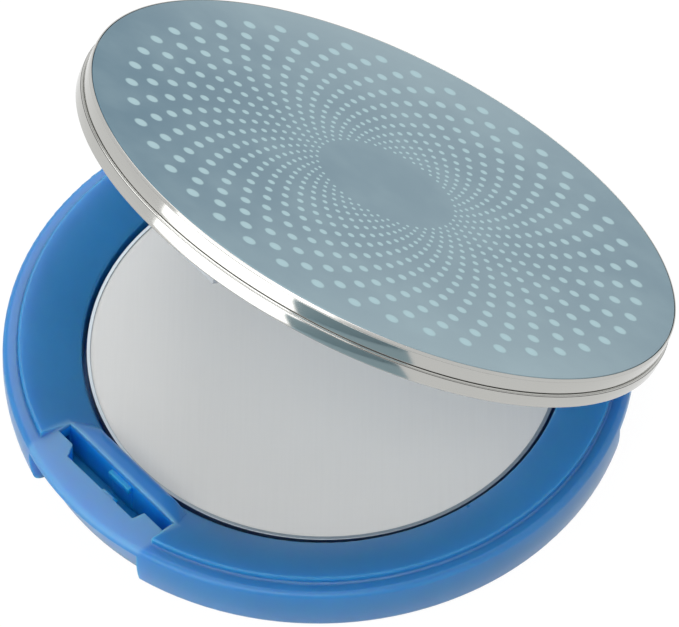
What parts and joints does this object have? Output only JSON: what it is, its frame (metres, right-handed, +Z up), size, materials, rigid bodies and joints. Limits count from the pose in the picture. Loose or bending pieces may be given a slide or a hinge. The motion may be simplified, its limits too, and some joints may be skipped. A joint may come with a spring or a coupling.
{
  "type": "round wet palette",
  "caption": "Round pocket wet palette: damp pad under a woven membrane in a lift-out tray, tinted base with a catch slot, hinged polished lid with a printed plate.",
  "frame": {"origin": "centre of the base's flat underside", "axes": "+Z up, -Y towards the catch and thumb recess, +Y towards the hinge, +X to the right seen from the catch side"},
  "size_m": [0.0904, 0.0946, 0.0571],
  "materials": {
    "tinted_plastic": "gloss",
    "tinted_plastic_floor": "satin",
    "pin_steel": "satin",
    "tray_metal": "satin",
    "pad_sponge": "soft",
    "woven_membrane": "matte weave",
    "hoop_metal": "satin",
    "plated_band": "polished",
    "adhesive_sheet": "matte",
    "printed_metal": "satin print",
    "frame_plastic": "gloss",
    "liner_plastic": "gloss",
    "seal_rubber": "soft"
  },
  "bodies": {
    "base": {"base_shell": "tinted_plastic", "base_plate": "tinted_plastic_floor", "hinge_pin": "pin_steel"},
    "tray": {"water_tray": "tray_metal", "sponge_pad": "pad_sponge"},
    "cover": {"membrane": "woven_membrane", "membrane_hoop": "hoop_metal"},
    "lid": {"lid_lower_band": "plated_band", "lid_upper_band": "plated_band", "plate_tape": "adhesive_sheet", "printed_plate": "printed_metal", "lid_frame": "frame_plastic", "liner_tape": "adhesive_sheet", "lid_liner": "liner_plastic", "lid_seal": "seal_rubber"}
  },
  "joints": [
    {"name": "lid_hinge", "type": "hinge", "parent": "base", "child": "lid", "pos_m": [0, 0.0395, 0.0018], "axis": [-1, 0, 0], "range_deg": [-33.2, 21.8]},
    {"name": "tray_lift", "type": "slide", "parent": "base", "child": "tray", "axis": [0, 0, 1], "range_m": [0, 0.003]},
    {"name": "cover_lift", "type": "slide", "parent": "tray", "child": "cover", "axis": [0, 0, 1], "range_m": [0, 0.0014]}
  ]
}
